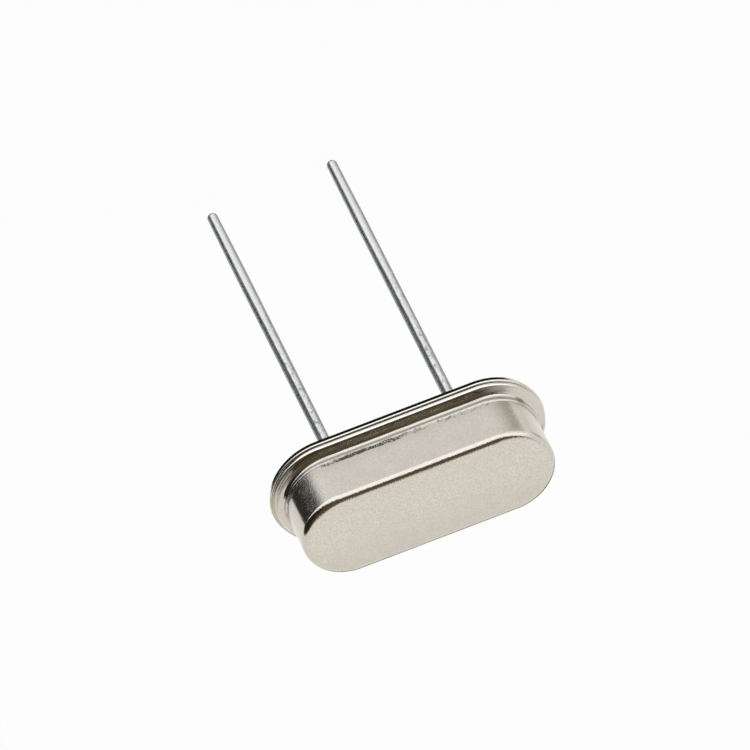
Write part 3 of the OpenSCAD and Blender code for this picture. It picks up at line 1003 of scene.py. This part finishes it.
def lay_daylight(sky):
    """The glow in front, above the table and below the room."""
    under_room = sky.beyond(ROOM_PLANE, *UNDER_ROOM)
    front = sky.product(under_room, sky.past(-65, soft=30), sky.before(102, soft=3))
    sky.lay(sky.product(front, sky.above(-42, soft=6)), GLOW)


def lay_rear(sky):
    """Dim grey patches towards -X, which the walls and flanges of the -X end mirror."""
    low = sky.below(-40, soft=8)
    sky.lay(sky.product(sky.past(-74, soft=5), sky.before(-42, soft=54), low), REAR)
    sky.lay(sky.product(sky.past(-99, soft=4), sky.before(-86, soft=6), low), REAR_FAINT)
    band = sky.product(sky.past(-98, soft=4), sky.before(-84, soft=6))
    sky.lay(sky.product(band, sky.above(-42, soft=8), sky.below(-8, soft=10)), REAR)


def lay_dark_end(sky):
    """Dusk and then night towards +X and low down, which the flanks of the +X end mirror."""
    deep = sky.below(-40.5, soft=4)
    sky.lay(sky.product(sky.past(38, soft=24), sky.before(DARK_END, soft=1.5), deep), DUSK)
    sky.lay(sky.product(sky.past(57, soft=28), sky.before(DARK_END, soft=1.5), deep), NIGHT)


def lay_room(sky):
    """The dark room, which the rounded top edge mirrors, blackest low towards +X."""
    room = sky.product(sky.beyond(ROOM_PLANE, *IN_ROOM), sky.before(ROOM_END, soft=5))
    sky.lay(room, ROOM_BROWN)
    sky.lay(sky.product(room, sky.past(35, soft=25), sky.below(42, soft=30)), ROOM_BLACK)
    sky.lay(sky.round(OVERHEAD_SPOT, half=12, soft=6), ROOM_BROWN)


def make_world():
    """A white studio round the part, with what the metal mirrors laid over it."""
    world = bpy.data.worlds.new("studio")
    bpy.context.scene.world = world
    world.use_nodes = True
    sky = Sky(world.node_tree)
    lay_daylight(sky)
    lay_rear(sky)
    lay_dark_end(sky)
    lay_room(sky)
    sky.lay(sky.round(NADIR_SPOT, half=32, soft=6), NADIR)
    sky.lay(sky.round(BACK_LOW_SPOT, half=20, soft=14), BACK_LOW)
    sky.lay(sky.nodes.new("ShaderNodeLightPath").outputs["Is Camera Ray"], WHITE)
    background = sky.nodes["Background"]
    sky.link(sky.colour, background.inputs["Color"])
    background.inputs["Strength"].default_value = 1.0


# ---------------------------------------------------------------- assembly
def place(piece, node, tree, slot):
    """Lets a fine mesh stand for a CAD node."""
    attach(piece, "root")
    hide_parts(node)
    tree.dress(piece, slot)


plating = nickel("nickel_can")
base_plating = nickel("nickel_base")
tinned = tin("tinned_wire")
glass = seal_glass("seal_glass")
place(make_can(), "can", plating, "can_plating")
place(make_base(), "base", base_plating, "base_plating")
for side, end in ((-1, "left"), (1, "right")):
    place(make_bead(side, "glass_bead_" + end), "glass_seal_" + end, glass, "seal_glass")
    place(make_lead(side, "lead_wire_" + end, lead_box[end]), "lead_" + end, tinned, "lead_tinning")

# The parts inside the can keep their CAD shapes
clips = plain_metal("clip_metal", CLIP_METAL, smooth=0.2, rough=0.35)
silver = plain_metal("silver_film", SILVER, smooth=0.15, rough=0.3)
crystal = quartz("quartz")
glue = adhesive("silver_adhesive")
inside = {"clip_left": clips, "clip_right": clips, "quartz_blank": crystal, "electrode_top": silver,
          "electrode_bottom": silver, "adhesive_left": glue, "adhesive_right": glue}
for node, tree in inside.items():
    tree.dress(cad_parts[node], None)

make_camera()
make_floor()
make_world()
bpy.context.scene.view_settings.view_transform = "Standard"
